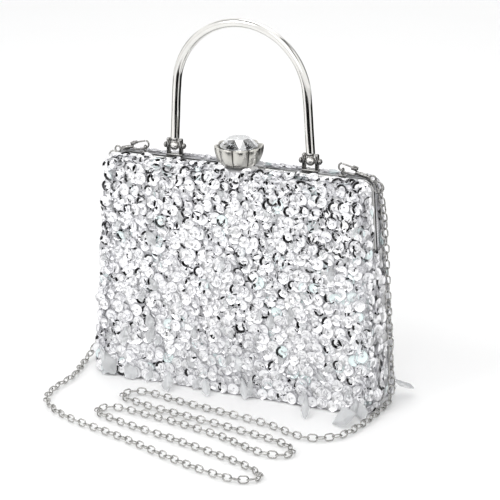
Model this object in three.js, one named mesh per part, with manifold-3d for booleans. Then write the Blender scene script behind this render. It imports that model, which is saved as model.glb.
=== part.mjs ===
// Evening bag: a hard clamshell of two sequinned half shells in polished metal rims, hinged along
// the bottom, with a swinging arch handle, a sprung crystal clasp and a chain strap on snap hooks.
// Millimetres, +Z up, front towards -Y, +X to the viewer's right, origin under the middle of the bag.
import * as THREE from "three";
import { mergeVertices } from "three/addons/utils/BufferGeometryUtils.js";
import Module from "manifold-3d";

const wasm = await Module();
wasm.setup();

// ---- the bag's outline and depth
const HEIGHT = 150;
const TOP_WIDTH = 185;
const BOTTOM_WIDTH = 201;
const TOP_DEPTH = 14; // one half, rim face to outside, at the top
const BOTTOM_DEPTH = 23;
const TOP_ROUND = 7;
const BOTTOM_ROUND = 5;
const LEAST_ROUND = 1.5;
const CORNER_STEPS = 5;
const GAP = 0.3; // clearance between touching pieces

// ---- rims and the layers they hold
const SEAM = 0.15; // half the gap where the two rims meet
const RIM_FACE = 4.6; // outer face of a rim, from the middle plane
const RIM_THICKNESS = 3;
const MOUTH = RIM_FACE + GAP; // where the layers of a half shell begin
const SHOULDER = 6; // rounding between walls and the big face
const SHOULDER_STEPS = 3;
const LAYERS = {
  cover: { inset: 0.8, thickness: 0.8 },
  shell: { inset: 1.9, thickness: 1.6 },
  lining: { inset: 3.8, thickness: 0.6 },
};

// ---- bottom hinge
const HINGE_HEIGHT = 1.6;
const HINGE_LENGTH = 180;
const KNUCKLES = 5;
const KNUCKLE_RADIUS = 1.5;
const KNUCKLE_BORE = 1;
const HINGE_PIN_RADIUS = 0.7;
const CHANNEL_HALF = 2.2;
const CHANNEL_TOP = 3.4;
const LEAF_TOP = 3.9;
const LEAF_THICKNESS = 0.6;

// ---- handle
const MOUNT_Y = 2.4; // fittings sit on the middle of the rear rim
const FOOT = HEIGHT + GAP;
const HANDLE_X = 48.7;
const PIVOT_Z = 157.6;
const HANDLE_RADIUS = 3;
const ARCH_RADIUS = 46.5;
const ARCH_CENTRE_Z = 196.4;
const HANDLE_START_Z = 161.3;
const HANDLE_PIN_RADIUS = 0.9;
const HANDLE_BORE = 1.2;
const FORK_HALF = 5.7;
const FORK_INNER = 3.3;
const FORK_TOP = 162.5;
const FORK_SPAN_Y = [MOUNT_Y - 1.9, MOUNT_Y + 1.9];
const PIN_HEAD_RADIUS = 2;
const PIN_HEAD_THICKNESS = 1.5;
const EYE_RADIUS = 2.9;
const NECK_RADIUS = 2;

// ---- clasp
const CLASP_PIN = { y: 3.2, z: 152.5 };
const CLASP_BORE = 1;
const LEVER_KNUCKLE_RADIUS = 1.2;
const LEVER_SPAN_Y = [-6.4, 1.4];
const LEVER_ARM_INNER = 3.4;
const TOOTH = { half: 4, depth: 1, drop: 0.3 };
const BOSS_RADIUS = 3; // on the lever, under the cup
const SCREW_RADIUS = 0.9;
const SCREW_BORE = 1.2;
const SCREW_HEAD = { radius: 1.9, low: 151.5, high: 151.95 };
const SCREW_SEAT = { radius: 2.2, top: 152.2 };
const KNOB_Y = -1.5;
const PLATE_HALF = 6;
const EAR_MIDDLE = 6.9;
const EAR_HALF = 0.6;
const PLATE_BOTTOM = 151.4;
const PLATE_TOP = 152.4;
const CUP_FOOT_Z = 151.2; // the skirt of the cup hides the lever
const CUP_CEILING_Z = 154.2; // top of the hollow under the cup
const CUP_FLOOR_Z = 156.6; // bottom of the bowl that holds the crystal
const CUP_RIM_Z = 163.8;
const CUP_RADIUS = 15.5;
const CUP_HOLLOW = 10.1;
const CUP_LOBES = 8;
const CUP_TURN = -60; // a petal faces this way
const CRYSTAL_TOP_Z = 168.8;
const CATCH_HALF = 5;
const CATCH_SPAN_Y = [-4.5, -0.6];
const CATCH_THICKNESS = 0.4;

// ---- snap hooks and chain
const LUG_X = 71;
const LUG_Z = 153.3;
const HOOK_TILT = 14;
const HOOK_WIRE = 0.6;
const LUG_RING = 1.8;
const LUG_WIRE = 0.5;
const HOOK_BEND = [
  [8.3, 4.1], [8.9, 2.4], [8.2, 0.6], [6, 0], [-0.4, 0], [-2.6, 0.7], [-3.4, 2.4], [-2.9, 4.1], [-2.1, 4.8],
];
const STEM_W = 2.4;
const STEM_START_U = 8.7;
const STEM_RADIUS = 0.9;
const HOOK_EYE_RADIUS = 2;
const CHEEK_SPAN_U = [5.4, 9.2];
const CHEEK_OUTSIDE = 1.7;
const CHEEK_THICKNESS = 0.5;
const CHEEK_BOTTOM_W = 3.6;
const ARM_SPACING = 4.8; // from the hook's lower arm to its gate
const GATE_PIVOT_U = 6.4;
const HOOK_EYE_U = 20.6;
const CHAIN_RADIUS = 2.7;
const CHAIN_STEPS = 80;
const CHAIN_ROUTE = [
  [-95.2, 2.8, 148.6], [-97.8, 5, 136], [-99.3, 7, 104], [-101.5, 7.5, 66], [-107, 6, 30],
  [-113.5, 0, 8], [-113, -14, 2.8], [-106, -43, 2.8], [-106, -66, 2.8], [-101, -86, 2.8],
  [-80, -104, 2.8], [-24, -123, 2.8], [45, -147, 2.8], [71, -150, 2.8], [80, -142, 2.8],
  [68, -132, 2.8], [17, -115, 2.8], [-46, -98, 2.8], [-61, -90, 2.8], [-56, -81, 2.8],
  [-36, -82, 2.8], [25, -94, 2.8], [68, -109, 2.8], [82, -104, 2.8], [76, -93, 2.8],
  [25, -80, 2.8], [-42, -68, 2.8], [-59, -60, 2.8], [-53, -50, 2.8], [-13, -56, 2.8],
  [48, -66, 2.8], [80, -76, 2.8], [97, -66, 2.8], [104, -40, 2.8], [105, -16, 2.8],
  [105.5, 1, 5], [103.4, 7, 24], [100.3, 7.5, 75], [97.8, 5.5, 128], [95.2, 2.8, 148.6],
];

const DEGREE = Math.PI / 180;

// ---- materials
const finish = (color, roughness, metalness) =>
  new THREE.MeshStandardMaterial({ color, roughness, metalness });
const METAL = finish(0xc9c7c2, 0.12, 1);
const SEQUIN_CLOTH = finish(0xe6e8ec, 0.45, 0.3);
const BOARD = finish(0x9b948a, 0.9, 0);
const SATIN = finish(0xbfc1c6, 0.5, 0);
const CRYSTAL = finish(0xf2f5f8, 0.02, 0);

const bag = new THREE.Group();

function place(name, geometry, material, parent = bag) {
  const mesh = new THREE.Mesh(geometry, material);
  mesh.name = name;
  parent.add(mesh);
}

// ---- solids
function toSolid(geometry) {
  const plain = geometry.clone();
  plain.deleteAttribute("normal");
  plain.deleteAttribute("uv");
  const merged = mergeVertices(plain, 1e-5);
  const vertProperties = new Float32Array(merged.attributes.position.array);
  const triVerts = new Uint32Array(merged.index.array);
  return new wasm.Manifold(new wasm.Mesh({ numProp: 3, vertProperties, triVerts }));
}

function toGeometry(solid) {
  const mesh = solid.getMesh();
  const geometry = new THREE.BufferGeometry();
  geometry.setAttribute("position", new THREE.BufferAttribute(mesh.vertProperties, 3));
  geometry.setIndex(new THREE.BufferAttribute(mesh.triVerts, 1));
  geometry.computeVertexNormals();
  return geometry;
}

function join(...geometries) {
  return toGeometry(geometries.map(toSolid).reduce((all, next) => all.add(next)));
}

function cut(geometry, ...tools) {
  return toGeometry(tools.map(toSolid).reduce((rest, tool) => rest.subtract(tool), toSolid(geometry)));
}

function block([x0, x1], [y0, y1], [z0, z1]) {
  const box = new THREE.BoxGeometry(x1 - x0, y1 - y0, z1 - z0);
  return box.translate((x0 + x1) / 2, (y0 + y1) / 2, (z0 + z1) / 2);
}

// A round bar along X, from x0 to x1.
function barX(radius, [x0, x1], y, z, sides = 12) {
  const bar = new THREE.CylinderGeometry(radius, radius, x1 - x0, sides).rotateZ(Math.PI / 2);
  return bar.translate((x0 + x1) / 2, y, z);
}

function barY(radius, x, [y0, y1], z, sides = 12) {
  const bar = new THREE.CylinderGeometry(radius, radius, y1 - y0, sides);
  return bar.translate(x, (y0 + y1) / 2, z);
}

function barZ(radius, x, y, [z0, z1], sides = 16) {
  const bar = new THREE.CylinderGeometry(radius, radius, z1 - z0, sides).rotateX(Math.PI / 2);
  return bar.translate(x, y, (z0 + z1) / 2);
}

function wire(points, radius, steps, sides) {
  const section = new THREE.Shape();
  const angles = Array.from({ length: sides }, (_, i) => (2 * Math.PI * i) / sides);
  section.setFromPoints(angles.map((a) => new THREE.Vector2(radius * Math.cos(a), radius * Math.sin(a))));
  const route = points.map((p) => new THREE.Vector3(...p));
  const extrudePath = new THREE.CatmullRomCurve3(route, false, "centripetal");
  return new THREE.ExtrudeGeometry(section, { steps, bevelEnabled: false, extrudePath });
}

// Skins a row of equal rings of points: closed into a loop, or capped at both flat ends.
function loft(rings, looped = false) {
  const count = rings[0].length;
  const index = [];
  const spans = looped ? rings.length : rings.length - 1;
  for (let r = 0; r < spans; r++) {
    const next = (r + 1) % rings.length;
    for (let i = 0; i < count; i++) {
      const j = (i + 1) % count;
      index.push(r * count + i, r * count + j, next * count + j);
      index.push(r * count + i, next * count + j, next * count + i);
    }
  }
  const last = (rings.length - 1) * count;
  for (let i = 1; !looped && i < count - 1; i++) {
    index.push(0, i + 1, i, last, last + i, last + i + 1);
  }
  const geometry = new THREE.BufferGeometry();
  geometry.setAttribute("position", new THREE.Float32BufferAttribute(rings.flat(2), 3));
  geometry.setIndex(signedVolume(rings.flat(), index) < 0 ? index.reverse() : index);
  geometry.computeVertexNormals();
  return geometry;
}

function signedVolume(points, index) {
  const [a, b, c] = [new THREE.Vector3(), new THREE.Vector3(), new THREE.Vector3()];
  let six = 0;
  for (let i = 0; i < index.length; i += 3) {
    a.set(...points[index[i]]);
    b.set(...points[index[i + 1]]);
    c.set(...points[index[i + 2]]);
    six += a.dot(b.cross(c));
  }
  return six / 6;
}

// ---- the outline of the bag: a rounded trapezium in the XZ plane, drawn in by an inset
function halfWidth(z) {
  return (BOTTOM_WIDTH + ((TOP_WIDTH - BOTTOM_WIDTH) * z) / HEIGHT) / 2;
}

function outline(inset, floor) {
  const half = TOP_WIDTH / 2 - inset;
  const top = HEIGHT - inset;
  const topRound = Math.max(TOP_ROUND - inset, LEAST_ROUND);
  const lowRound = Math.max(BOTTOM_ROUND - inset, LEAST_ROUND);
  const corners = [
    { x: half - lowRound, z: floor + lowRound, round: lowRound, start: -90 },
    { x: half - topRound, z: top - topRound, round: topRound, start: 0 },
    { x: topRound - half, z: top - topRound, round: topRound, start: 90 },
    { x: lowRound - half, z: floor + lowRound, round: lowRound, start: 180 },
  ];
  return corners.flatMap((corner) =>
    Array.from({ length: CORNER_STEPS + 1 }, (_, i) => {
      const angle = (corner.start + (90 * i) / CORNER_STEPS) * DEGREE;
      const z = corner.z + corner.round * Math.sin(angle);
      const x = corner.x + corner.round * Math.cos(angle);
      return [(x * halfWidth(z)) / (TOP_WIDTH / 2), z];
    }),
  );
}

function depthAt(z) {
  return BOTTOM_DEPTH + ((TOP_DEPTH - BOTTOM_DEPTH) * z) / HEIGHT;
}

// ---- half shells: side is -1 for the front half and +1 for the rear half
function rim(side) {
  const ring = (inset, y) => outline(inset, inset).map(([x, z]) => [x, side * y, z]);
  const hoop = loft(
    [ring(0, SEAM), ring(0, RIM_FACE), ring(RIM_THICKNESS, RIM_FACE), ring(RIM_THICKNESS, SEAM)],
    true,
  );
  const channel = block([-BOTTOM_WIDTH, BOTTOM_WIDTH], [-CHANNEL_HALF, CHANNEL_HALF], [-1, CHANNEL_TOP]);
  return cut(hoop, channel);
}

function tray(side, { inset, thickness }) {
  const sunk = inset - LAYERS.cover.inset;
  const surface = (depthIn, inwards) => {
    const round = SHOULDER - depthIn;
    const shoulder = Array.from({ length: SHOULDER_STEPS + 1 }, (_, i) => {
      const angle = ((90 * i) / SHOULDER_STEPS) * DEGREE;
      const draw = round * (1 - Math.cos(angle));
      const reach = (z) => depthAt(z) - depthIn - round + round * Math.sin(angle);
      return outline(inwards + draw, depthIn + draw).map(([x, z]) => [x, side * reach(z), z]);
    });
    const edge = outline(inwards, depthIn).map(([x, z]) => [x, side * MOUTH, z]);
    return [edge, ...shoulder];
  };
  const outer = surface(sunk, inset);
  const inner = surface(sunk + thickness, inset + thickness);
  return loft([...outer.reverse(), ...inner]);
}

function innerPocket() {
  const [halfLength, low, high, thickness] = [52, 30, 92, 1];
  const lean = Math.atan((BOTTOM_DEPTH - TOP_DEPTH) / HEIGHT);
  const middle = (low + high) / 2;
  const wall = depthAt(middle) - LAYERS.lining.inset - LAYERS.lining.thickness + LAYERS.cover.inset;
  const pouch = block([-halfLength, halfLength], [-thickness, 0], [low - middle, high - middle]);
  return pouch.rotateX(lean).translate(0, wall - 2 * GAP, middle);
}

function gusset(side) {
  const [halfDepth, low, high] = [6, 12, 126];
  const nearInset = 5.4;
  const farInset = 7.8;
  const ring = (y) => [
    [side * (halfWidth(low) - nearInset), y, low],
    [side * (halfWidth(high) - nearInset), y, high],
    [side * (halfWidth(high) - farInset), y, high],
    [side * (halfWidth(low) - farInset), y, low],
  ];
  return loft([ring(-halfDepth), ring(halfDepth)]);
}

// ---- bottom hinge: a leaf on each rim, with knuckles taken in turn along one pin
function hingeLeaf(side, first) {
  const pitch = HINGE_LENGTH / KNUCKLES;
  const reach = (a, b) => [Math.min(side * a, side * b), Math.max(side * a, side * b)];
  const plate = block(
    [-HINGE_LENGTH / 2, HINGE_LENGTH / 2],
    reach(1.1, RIM_FACE - GAP),
    [LEAF_TOP - LEAF_THICKNESS, LEAF_TOP],
  );
  const knuckles = [];
  const bores = [];
  for (let k = first; k < KNUCKLES; k += 2) {
    const span = [k * pitch - HINGE_LENGTH / 2 + GAP, (k + 1) * pitch - HINGE_LENGTH / 2 - GAP];
    knuckles.push(barX(KNUCKLE_RADIUS, span, 0, HINGE_HEIGHT));
    knuckles.push(block(span, reach(1.1, 1.7), [HINGE_HEIGHT, LEAF_TOP]));
    bores.push(barX(KNUCKLE_BORE, [span[0] - 1, span[1] + 1], 0, HINGE_HEIGHT));
  }
  return cut(join(plate, ...knuckles), ...bores);
}

// ---- handle fittings, each built at x = 0 and placed on its side of the bag
function fork() {
  const prong = (side) => {
    const span = side < 0 ? [-FORK_HALF, -FORK_INNER] : [FORK_INNER, FORK_HALF];
    return block(span, FORK_SPAN_Y, [FOOT + 1, FORK_TOP]);
  };
  const base = block([-FORK_HALF, FORK_HALF], FORK_SPAN_Y, [FOOT, FOOT + 2]);
  const bore = barX(HANDLE_BORE, [-2 * FORK_HALF, 2 * FORK_HALF], MOUNT_Y, PIVOT_Z);
  return cut(join(base, prong(-1), prong(1)), bore);
}

function handlePin() {
  const headStart = FORK_HALF + GAP;
  const headEnd = headStart + PIN_HEAD_THICKNESS;
  return join(
    barX(HANDLE_PIN_RADIUS, [-headStart - 0.2, headStart + 0.2], MOUNT_Y, PIVOT_Z),
    barX(PIN_HEAD_RADIUS, [-headEnd, -headStart], MOUNT_Y, PIVOT_Z),
    barX(PIN_HEAD_RADIUS, [headStart, headEnd], MOUNT_Y, PIVOT_Z),
  );
}

function handleEye() {
  const half = FORK_INNER - 0.4;
  const barrel = barX(EYE_RADIUS, [-half, half], MOUNT_Y, PIVOT_Z, 20);
  const neck = barZ(NECK_RADIUS, 0, MOUNT_Y, [PIVOT_Z, HANDLE_START_Z - GAP]);
  const bore = barX(HANDLE_BORE, [-FORK_HALF, FORK_HALF], MOUNT_Y, PIVOT_Z);
  return cut(join(barrel, neck), bore);
}

function handleTube() {
  const legs = [HANDLE_START_Z, (HANDLE_START_Z + ARCH_CENTRE_Z) / 2];
  const splay = (HANDLE_X - ARCH_RADIUS) / (ARCH_CENTRE_Z - HANDLE_START_Z);
  const legX = (z) => ARCH_RADIUS + splay * (ARCH_CENTRE_Z - z);
  const points = legs.map((z) => [-legX(z), MOUNT_Y, z]);
  for (let angle = 180; angle >= 0; angle -= 15) {
    const x = ARCH_RADIUS * Math.cos(angle * DEGREE);
    points.push([x, MOUNT_Y, ARCH_CENTRE_Z + ARCH_RADIUS * Math.sin(angle * DEGREE)]);
  }
  points.push(...legs.reverse().map((z) => [legX(z), MOUNT_Y, z]));
  return wire(points, HANDLE_RADIUS, 40, 12);
}

// ---- clasp
function claspBracket() {
  const reach = EAR_MIDDLE + EAR_HALF;
  const base = block([-reach, reach], [0.4, CLASP_PIN.y + 1.2], [FOOT, FOOT + 0.4]);
  const ear = (x) =>
    block([x - EAR_HALF, x + EAR_HALF], [CLASP_PIN.y - 1.4, CLASP_PIN.y + 1.2], [FOOT, CLASP_PIN.z + 1.3]);
  const bore = barX(CLASP_BORE, [-2 * reach, 2 * reach], CLASP_PIN.y, CLASP_PIN.z);
  return cut(join(base, ear(-EAR_MIDDLE), ear(EAR_MIDDLE)), bore);
}

function claspLever() {
  const [front, back] = LEVER_SPAN_Y;
  const knuckle = (span) => barX(LEVER_KNUCKLE_RADIUS, span, CLASP_PIN.y, CLASP_PIN.z);
  const arm = (span) => block(span, [back - GAP, CLASP_PIN.y], [PLATE_BOTTOM, PLATE_TOP]);
  const left = [-PLATE_HALF, -LEVER_ARM_INNER];
  const right = [LEVER_ARM_INNER, PLATE_HALF];
  const body = join(
    block([-PLATE_HALF, PLATE_HALF], LEVER_SPAN_Y, [PLATE_BOTTOM, PLATE_TOP]),
    block([-TOOTH.half, TOOTH.half], [front, front + TOOTH.depth], [PLATE_BOTTOM - TOOTH.drop, PLATE_TOP]),
    barZ(BOSS_RADIUS, 0, KNOB_Y, [PLATE_BOTTOM, CUP_CEILING_Z - GAP]),
    arm(left),
    arm(right),
    knuckle(left),
    knuckle(right),
  );
  const pinBore = barX(CLASP_BORE, [-2 * PLATE_HALF, 2 * PLATE_HALF], CLASP_PIN.y, CLASP_PIN.z);
  const screwBore = barZ(SCREW_BORE, 0, KNOB_Y, [PLATE_BOTTOM - 1, CUP_CEILING_Z + 1]);
  const screwSeat = barZ(SCREW_SEAT.radius, 0, KNOB_Y, [PLATE_BOTTOM - 1, SCREW_SEAT.top]);
  return cut(body, pinBore, screwBore, screwSeat);
}

function claspPin() {
  return barX(HINGE_PIN_RADIUS, [-EAR_MIDDLE - 1, EAR_MIDDLE + 1], CLASP_PIN.y, CLASP_PIN.z);
}

function claspSpring() {
  const [turns, reach, radius, perTurn] = [4, 2.2, 1.2, 10];
  const points = Array.from({ length: turns * perTurn + 1 }, (_, i) => {
    const angle = (2 * Math.PI * i) / perTurn;
    const x = -reach + (2 * reach * i) / (turns * perTurn);
    return [x, CLASP_PIN.y + radius * Math.cos(angle), CLASP_PIN.z + radius * Math.sin(angle)];
  });
  return wire(points, 0.2, turns * perTurn, 5);
}

function claspCup() {
  const lobed = (radius, z, depth) =>
    Array.from({ length: 6 * CUP_LOBES }, (_, i) => {
      const angle = (2 * Math.PI * i) / (6 * CUP_LOBES);
      const swell = radius * (1 + depth * (Math.abs(Math.cos((CUP_LOBES * angle) / 2)) - 0.7));
      const turned = angle + CUP_TURN * DEGREE;
      return [swell * Math.cos(turned), KNOB_Y + swell * Math.sin(turned), z];
    });
  const cup = loft([
    lobed(10.9, CUP_FOOT_Z, 0.04),
    lobed(12.3, CUP_FOOT_Z + 1.3, 0.07),
    lobed(13.7, CUP_FOOT_Z + 4, 0.1),
    lobed(14.8, CUP_FOOT_Z + 7.6, 0.12),
    lobed(CUP_RADIUS, CUP_RIM_Z, 0.12),
    lobed(CUP_RADIUS - 1.2, CUP_RIM_Z, 0.12),
    lobed(9, CUP_FLOOR_Z + 2, 0.06),
    lobed(3, CUP_FLOOR_Z, 0),
  ]);
  const hollow = barZ(CUP_HOLLOW, 0, KNOB_Y, [CUP_FOOT_Z - 1, CUP_CEILING_Z], 32);
  const screwHole = barZ(SCREW_BORE, 0, KNOB_Y, [CUP_CEILING_Z - 1, CUP_FLOOR_Z + 1]);
  return cut(cup, hollow, screwHole);
}

function claspCrystal() {
  const sides = 16;
  const ring = (radius, z, turn) =>
    Array.from({ length: sides }, (_, i) => {
      const angle = (2 * Math.PI * (i + turn)) / sides;
      return [radius * Math.cos(angle), KNOB_Y + radius * Math.sin(angle), z];
    });
  return loft([
    ring(2.4, CUP_FLOOR_Z + 1, 0),
    ring(12.2, CUP_RIM_Z - 0.9, 0),
    ring(12.5, CUP_RIM_Z - 0.1, 0),
    ring(10.6, CRYSTAL_TOP_Z - 2.4, 0.5),
    ring(6.6, CRYSTAL_TOP_Z, 0),
  ]);
}

function cupScrew() {
  const head = barZ(SCREW_HEAD.radius, 0, KNOB_Y, [SCREW_HEAD.low, SCREW_HEAD.high]);
  return join(head, barZ(SCREW_RADIUS, 0, KNOB_Y, [SCREW_HEAD.high - 0.15, CUP_CEILING_Z + 2]));
}

// ---- snap hooks: built at the lug, u runs outwards and w up before the tilt
function lug() {
  const ring = new THREE.TorusGeometry(LUG_RING, LUG_WIRE, 8, 20).rotateY(Math.PI / 2);
  const base = block([-2.6, 2.6], [MOUNT_Y - 1.8, MOUNT_Y + 1.8], [FOOT, FOOT + 0.6]);
  const post = block([-0.6, 0.6], [MOUNT_Y - 0.9, MOUNT_Y + 0.9], [FOOT + 0.5, LUG_Z - 1.5]);
  return join(base, post, ring.translate(0, MOUNT_Y, LUG_Z));
}

function hookBody(side) {
  const span = ([u0, u1]) => [Math.min(side * u0, side * u1), Math.max(side * u0, side * u1)];
  const loop = wire(HOOK_BEND.map(([u, w]) => [side * u, 0, w]), HOOK_WIRE, 26, 8);
  const stem = barX(STEM_RADIUS, span([STEM_START_U, HOOK_EYE_U - HOOK_EYE_RADIUS]), 0, STEM_W, 10);
  const eye = new THREE.TorusGeometry(HOOK_EYE_RADIUS, HOOK_WIRE, 8, 18).rotateX(Math.PI / 2);
  const cheekTop = ARM_SPACING + 0.9;
  const cheek = (y0) => block(span(CHEEK_SPAN_U), [y0, y0 + CHEEK_THICKNESS], [CHEEK_BOTTOM_W, cheekTop]);
  const bridge = block(
    span([8, CHEEK_SPAN_U[1]]),
    [-CHEEK_OUTSIDE, CHEEK_OUTSIDE],
    [CHEEK_BOTTOM_W, ARM_SPACING + 0.2],
  );
  const pin = barY(0.4, side * GATE_PIVOT_U, [-1.6, 1.6], ARM_SPACING, 8);
  return join(
    loop,
    stem,
    eye.translate(side * HOOK_EYE_U, 0, STEM_W),
    cheek(-CHEEK_OUTSIDE),
    cheek(CHEEK_OUTSIDE - CHEEK_THICKNESS),
    bridge,
    pin,
  );
}

function gate(side) {
  const barrel = barY(1, side * GATE_PIVOT_U, [-0.9, 0.9], ARM_SPACING);
  const armSpan = [Math.min(-side * 1.2, side * 5.9), Math.max(-side * 1.2, side * 5.9)];
  const arm = barX(HOOK_WIRE, armSpan, 0, ARM_SPACING, 10);
  const bore = barY(0.7, side * GATE_PIVOT_U, [-2, 2], ARM_SPACING);
  return cut(join(barrel, arm), bore);
}

// ---- assembly
function addHalf(half, side) {
  place(`${half}_rim`, rim(side), METAL);
  place(`${half}_cover`, tray(side, LAYERS.cover), SEQUIN_CLOTH);
  place(`${half}_shell`, tray(side, LAYERS.shell), BOARD);
  place(`${half}_lining`, tray(side, LAYERS.lining), SATIN);
}

function addSide(name, side) {
  const handleEnd = new THREE.Group();
  handleEnd.position.x = side * HANDLE_X;
  place(`${name}_fork`, fork(), METAL, handleEnd);
  place(`${name}_handle_pin`, handlePin(), METAL, handleEnd);
  place(`${name}_handle_eye`, handleEye(), METAL, handleEnd);

  const lugPost = new THREE.Group();
  lugPost.position.x = side * LUG_X;
  place(`${name}_lug`, lug(), METAL, lugPost);

  const hook = new THREE.Group();
  hook.position.set(side * LUG_X, MOUNT_Y, LUG_Z);
  hook.rotation.y = side * HOOK_TILT * DEGREE;
  place(`${name}_snap_hook`, hookBody(side), METAL, hook);
  place(`${name}_gate`, gate(side), METAL, hook);

  bag.add(handleEnd, lugPost, hook);
  place(`${name}_gusset`, gusset(side), SATIN);
}

addHalf("rear", 1);
addHalf("front", -1);
addSide("left", -1);
addSide("right", 1);
place("inner_pocket", innerPocket(), SATIN);
place("rear_hinge_leaf", hingeLeaf(1, 0), METAL);
place("front_hinge_leaf", hingeLeaf(-1, 1), METAL);
place("hinge_pin", barX(HINGE_PIN_RADIUS, [-HINGE_LENGTH / 2, HINGE_LENGTH / 2], 0, HINGE_HEIGHT, 8), METAL);
place("handle_tube", handleTube(), METAL);
place("clasp_bracket", claspBracket(), METAL);
place("clasp_pin", claspPin(), METAL);
place("clasp_spring", claspSpring(), METAL);
place("clasp_lever", claspLever(), METAL);
place("clasp_cup", claspCup(), METAL);
place("clasp_crystal", claspCrystal(), CRYSTAL);
place("cup_screw", cupScrew(), METAL);
place("catch_plate", block([-CATCH_HALF, CATCH_HALF], CATCH_SPAN_Y, [FOOT, FOOT + CATCH_THICKNESS]), METAL);
place("chain", wire(CHAIN_ROUTE, CHAIN_RADIUS, CHAIN_STEPS, 8), METAL);

export default bag;
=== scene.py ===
"""Evening bag in silver-white sequins: the visual model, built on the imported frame.

The frame gives the places. Shapes are worked out in millimetres and written to Blender in metres.
The bag's front faces -Y, +X is to the viewer's right and +Z is up.
"""
import math

import bmesh
import bpy
import numpy as np
from mathutils import Matrix, Vector


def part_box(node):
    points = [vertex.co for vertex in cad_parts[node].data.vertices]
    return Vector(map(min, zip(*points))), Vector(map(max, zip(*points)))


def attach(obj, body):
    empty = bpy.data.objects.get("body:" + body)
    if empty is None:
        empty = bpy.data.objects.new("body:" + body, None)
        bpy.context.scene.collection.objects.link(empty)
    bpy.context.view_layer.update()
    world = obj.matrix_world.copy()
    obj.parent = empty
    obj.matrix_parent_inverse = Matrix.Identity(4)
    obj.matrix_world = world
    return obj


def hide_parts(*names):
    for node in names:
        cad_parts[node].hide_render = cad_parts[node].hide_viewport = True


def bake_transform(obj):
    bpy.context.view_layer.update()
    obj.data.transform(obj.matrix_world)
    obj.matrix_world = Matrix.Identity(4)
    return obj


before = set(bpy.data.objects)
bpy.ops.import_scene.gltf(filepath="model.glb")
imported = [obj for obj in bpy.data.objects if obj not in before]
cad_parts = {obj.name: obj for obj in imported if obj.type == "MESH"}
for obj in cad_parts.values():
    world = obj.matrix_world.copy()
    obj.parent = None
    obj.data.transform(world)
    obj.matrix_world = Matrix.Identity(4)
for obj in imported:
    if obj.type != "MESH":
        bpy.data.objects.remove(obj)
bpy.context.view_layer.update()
rng = np.random.default_rng(7)

MM = 0.001

# ---- the bag's outline, as in the CAD model
_, rim_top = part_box("rear_rim")
HEIGHT = rim_top[2] / MM
TOP_WIDTH = 185
BOTTOM_WIDTH = 201
TOP_DEPTH = 14
BOTTOM_DEPTH = 23
TOP_ROUND = 7
BOTTOM_ROUND = 5
LEAST_ROUND = 1.5
SHOULDER = 6
SEAM = 0.15
RIM_FACE = 4.6
RIM_THICKNESS = 3
RIM_EDGE = 0.7
RIM_POINTS = 300
MOUTH = 4.9
COVER_INSET = 0.8
CLOTH_THICKNESS = 0.8
LINING_INSET = 3.8
LINING_THICKNESS = 0.6
CHANNEL_HALF = 2.2
CHANNEL_TOP = 3.4
GUSSET_Z = (12, 126)
GUSSET_FOLDS = 6
POCKET_Z = (30, 92)
POCKET_HALF = 52

# ---- fittings
MOUNT_Y = 2.4
FOOT = 150.3
HANDLE_X = 48.7
PIVOT_Z = 157.6
HANDLE_RADIUS = 3
ARCH_RADIUS = 46.5
ARCH_CENTRE_Z = 196.4
HANDLE_START_Z = 161.3
EYE_RADIUS = 3.25
EYE_HALF = 2.9
PIN_RADIUS = 0.9
FORK_HALF = 5.7
FORK_INNER = 3.3
FORK_TOP = 162.5
FORK_HALF_DEPTH = 1.9
KNOB_Y = -1.5
CUP_FOOT_Z = 151.2
CUP_CEILING_Z = 154.2
CUP_FLOOR_Z = 156.6
CUP_RIM_Z = 163.8
CUP_LOBES = 8
CUP_SIDES = 200
CUP_TURN = math.radians(-60)
CRYSTAL_TOP_Z = 168.8
CRYSTAL_TURN = math.radians(-64)
LUG_X = 71
LUG_Z = 153.3
HOOK_TILT = math.radians(14)
HOOK_WIRE = 0.6
ARM_SPACING = 4.8
GATE_PIVOT_U = 6.4
HOOK_EYE_U = 20.6

# ---- chain
LINK_PITCH = 5.3
LINK_LENGTH = 7.2
LINK_WIDTH = 5.2
LINK_WIRE = 0.95
JUMP_RING_RADIUS = 3.6
# the way up of a level link, and how many degrees each link rolls either way
LINK_LEAN = (0, 0.3, 0.95)
LINK_PLAY = 12
CHAIN_ROUTE = [
    (-95.2, 2.8, 148.6), (-97.8, 5, 136), (-99.3, 7, 104), (-101.5, 7.5, 66), (-107, 6, 30),
    (-113.5, 0, 8), (-113, -14, 2.8), (-106, -43, 2.8), (-106, -66, 2.8), (-101, -86, 2.8),
    (-80, -104, 2.8), (-24, -123, 2.8), (45, -147, 2.8), (71, -150, 2.8), (80, -142, 2.8),
    (68, -132, 2.8), (17, -115, 2.8), (-46, -98, 2.8), (-61, -90, 2.8), (-56, -81, 2.8),
    (-36, -82, 2.8), (25, -94, 2.8), (68, -109, 2.8), (82, -104, 2.8), (76, -93, 2.8),
    (25, -80, 2.8), (-42, -68, 2.8), (-59, -60, 2.8), (-53, -50, 2.8), (-13, -56, 2.8),
    (48, -66, 2.8), (80, -76, 2.8), (97, -66, 2.8), (104, -40, 2.8), (105, -16, 2.8),
    (105.5, 1, 5), (103.4, 7, 24), (100.3, 7.5, 75), (97.8, 5.5, 128), (95.2, 2.8, 148.6),
]

# ---- sequins and drops
SEQUIN_RADIUS = 4.0
SEQUIN_HOLE = 0.55
SEQUIN_THICKNESS = 0.12
SEQUIN_SIDES = 12
# radius and height of the stamped cup, from its hole to its lip
SEQUIN_PROFILE = ((SEQUIN_HOLE, 0.0), (2.3, 0.08), (3.8, 0.75), (SEQUIN_RADIUS, 0.82))
# smallest and largest sequin, and the steepest tilt, as multiples of the usual ones
SEQUIN_SIZES = (0.92, 1.08)
TILT_LIMIT = 2.2
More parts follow.
